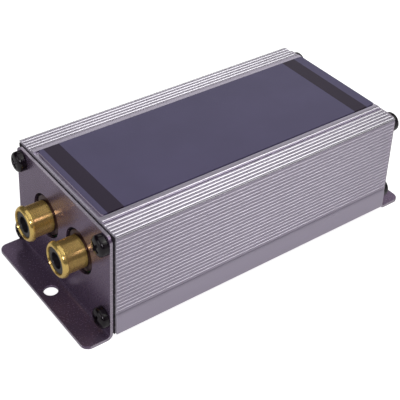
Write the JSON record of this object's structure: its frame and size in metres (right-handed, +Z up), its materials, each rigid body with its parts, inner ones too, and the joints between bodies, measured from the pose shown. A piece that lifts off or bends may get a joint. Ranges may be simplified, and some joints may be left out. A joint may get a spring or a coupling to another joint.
{
  "type": "ground loop isolator",
  "caption": "Small ribbed aluminium box with gold phono jacks and a folded mounting flange at each end, which breaks the ground loop between two pieces of audio gear.",
  "frame": {"origin": "midway between the two mounting flanges and between the two ribbed sides, on the surface that the flanges stand on", "axes": "+X along the extruded tube from the input end to the output end, +Y towards the ribbed side on the left of someone facing the input end, +Z up out of the label"},
  "size_m": [0.1054, 0.0466, 0.0326],
  "materials": {
    "satin_aluminium": "satin anodised, with a violet-grey tinge",
    "label_film": "satin grey-violet print with darker bands across both ends",
    "black_rubber": "matt",
    "plate_paint": "satin grey-violet paint",
    "screw_steel": "black zinc, satin",
    "gold_plating": "polished gold plating",
    "black_plastic": "moulded, semi-gloss",
    "brass_contact": "gold flashed",
    "green_board": "solder mask over glass epoxy",
    "lamination_steel": "stacked laminations",
    "bobbin_nylon": "moulded natural nylon",
    "enamelled_copper": "enamelled winding wire",
    "tinned_wire": "tinned"
  },
  "bodies": {
    "root": {"enclosure_extrusion": "satin_aluminium", "label_plate": "label_film", "input_gasket": "black_rubber", "output_gasket": "black_rubber", "input_end_plate": "plate_paint", "output_end_plate": "plate_paint", "input_screw_lower_left": "screw_steel", "input_screw_lower_right": "screw_steel", "input_screw_upper_left": "screw_steel", "input_screw_upper_right": "screw_steel", "output_screw_lower_left": "screw_steel", "output_screw_lower_right": "screw_steel", "output_screw_upper_left": "screw_steel", "output_screw_upper_right": "screw_steel", "input_jack_shell_left": "gold_plating", "input_jack_shell_right": "gold_plating", "output_jack_shell_left": "gold_plating", "output_jack_shell_right": "gold_plating", "input_jack_insert_left": "black_plastic", "input_jack_insert_right": "black_plastic", "output_jack_insert_left": "black_plastic", "output_jack_insert_right": "black_plastic", "input_jack_contact_left": "brass_contact", "input_jack_contact_right": "brass_contact", "output_jack_contact_left": "brass_contact", "output_jack_contact_right": "brass_contact", "input_jack_housing_left": "black_plastic", "input_jack_housing_right": "black_plastic", "output_jack_housing_left": "black_plastic", "output_jack_housing_right": "black_plastic", "circuit_board": "green_board", "transformer_core_left": "lamination_steel", "transformer_core_right": "lamination_steel", "transformer_bobbin_left": "bobbin_nylon", "transformer_bobbin_right": "bobbin_nylon", "transformer_winding_left": "enamelled_copper", "transformer_winding_right": "enamelled_copper", "transformer_pin_left_1": "tinned_wire", "transformer_pin_left_2": "tinned_wire", "transformer_pin_left_3": "tinned_wire", "transformer_pin_left_4": "tinned_wire", "transformer_pin_right_1": "tinned_wire", "transformer_pin_right_2": "tinned_wire", "transformer_pin_right_3": "tinned_wire", "transformer_pin_right_4": "tinned_wire"}
  },
  "joints": []
}
